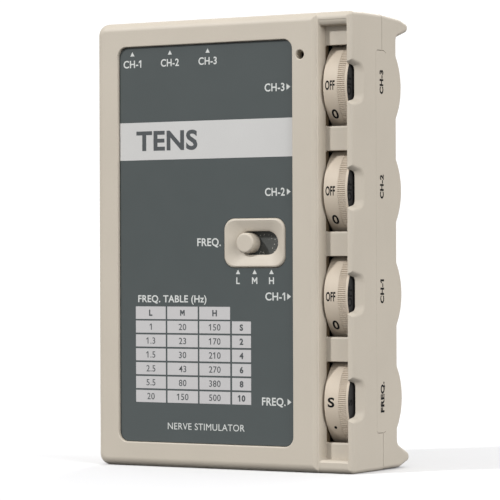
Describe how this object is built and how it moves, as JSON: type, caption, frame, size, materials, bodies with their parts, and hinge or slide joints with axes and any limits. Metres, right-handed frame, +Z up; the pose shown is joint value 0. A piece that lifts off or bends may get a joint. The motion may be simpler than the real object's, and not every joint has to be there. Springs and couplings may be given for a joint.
{
  "type": "tens unit",
  "caption": "Upright pocket nerve stimulator with a printed front panel, a slide switch, thumbwheels down its right edge, lead sockets on top and a battery door behind.",
  "frame": {"origin": "centre of the bounding box at the underside, on the surface the unit stands on", "axes": "+X to the right across the front panel, -Y out of the front panel, +Z up"},
  "size_m": [0.077, 0.0324, 0.1173],
  "materials": {
    "case_plastic": "fine matte moulded texture, warm beige",
    "wheel_plastic": "satin beige, lighter than the case, knurled along one edge",
    "label_film": "satin grey-green printed film with a silver band",
    "dark_plastic": "dull black",
    "lens": "smoked and glossy",
    "steel": "plain zinc-plated steel",
    "circuit_board": "green solder mask",
    "ferrite": "dull grey-black ferrite with a wound bobbin",
    "capacitor_sleeve": "shrunk sleeve",
    "battery_jacket": "plain printed steel jacket",
    "red_wire": "smooth wire insulation",
    "foam": "open-cell foam"
  },
  "bodies": {
    "case": {"battery": "battery_jacket", "battery_snap": "dark_plastic", "board_screw_1": "steel", "board_screw_2": "steel", "capacitor_1": "capacitor_sleeve", "capacitor_2": "capacitor_sleeve", "capacitor_3": "capacitor_sleeve", "case_screw_1": "steel", "case_screw_2": "steel", "case_screw_3": "steel", "case_screw_4": "steel", "circuit_board": "circuit_board", "front_shell": "case_plastic", "jack_ch1": "dark_plastic", "jack_ch2": "dark_plastic", "jack_ch3": "dark_plastic", "label_panel": "label_film", "microcontroller": "dark_plastic", "pot_ch1": "dark_plastic", "pot_ch2": "dark_plastic", "pot_ch3": "dark_plastic", "pot_freq": "dark_plastic", "power_led": "lens", "rear_shell": "case_plastic", "snap_lead_black": "dark_plastic", "snap_lead_red": "red_wire", "switch_body": "steel", "transformer_1": "ferrite", "transformer_2": "ferrite", "transformer_3": "ferrite"},
    "dial_freq": {"wheel_freq": "wheel_plastic", "pot_shaft_freq": "steel", "wheel_screw_freq": "steel"},
    "dial_ch1": {"wheel_ch1": "wheel_plastic", "pot_shaft_ch1": "steel", "wheel_screw_ch1": "steel"},
    "dial_ch2": {"wheel_ch2": "wheel_plastic", "pot_shaft_ch2": "steel", "wheel_screw_ch2": "steel"},
    "dial_ch3": {"wheel_ch3": "wheel_plastic", "pot_shaft_ch3": "steel", "wheel_screw_ch3": "steel"},
    "slide_knob": {"switch_knob": "case_plastic", "switch_lever": "dark_plastic", "switch_dust_shield": "dark_plastic"},
    "battery_door": {"battery_cover": "case_plastic", "foam_pad": "foam"}
  },
  "joints": [
    {"name": "dial_freq_turn", "type": "hinge", "parent": "case", "child": "dial_freq", "pos_m": [0.0299, -0.00145, 0.018], "axis": [-1, 0, 0], "range_deg": [0, 300]},
    {"name": "dial_ch1_turn", "type": "hinge", "parent": "case", "child": "dial_ch1", "pos_m": [0.0299, -0.00145, 0.0448], "axis": [-1, 0, 0], "range_deg": [0, 305]},
    {"name": "dial_ch2_turn", "type": "hinge", "parent": "case", "child": "dial_ch2", "pos_m": [0.0299, -0.00145, 0.0716], "axis": [-1, 0, 0], "range_deg": [0, 305]},
    {"name": "dial_ch3_turn", "type": "hinge", "parent": "case", "child": "dial_ch3", "pos_m": [0.0299, -0.00145, 0.0984], "axis": [-1, 0, 0], "range_deg": [0, 305]},
    {"name": "switch_slide", "type": "slide", "parent": "case", "child": "slide_knob", "axis": [1, 0, 0], "range_m": [0, 0.006]},
    {"name": "battery_door_hinge", "type": "hinge", "parent": "case", "child": "battery_door", "pos_m": [-0.0217, 0.00955, 0.0134], "axis": [-1, 0, 0], "range_deg": [0, 95]}
  ]
}
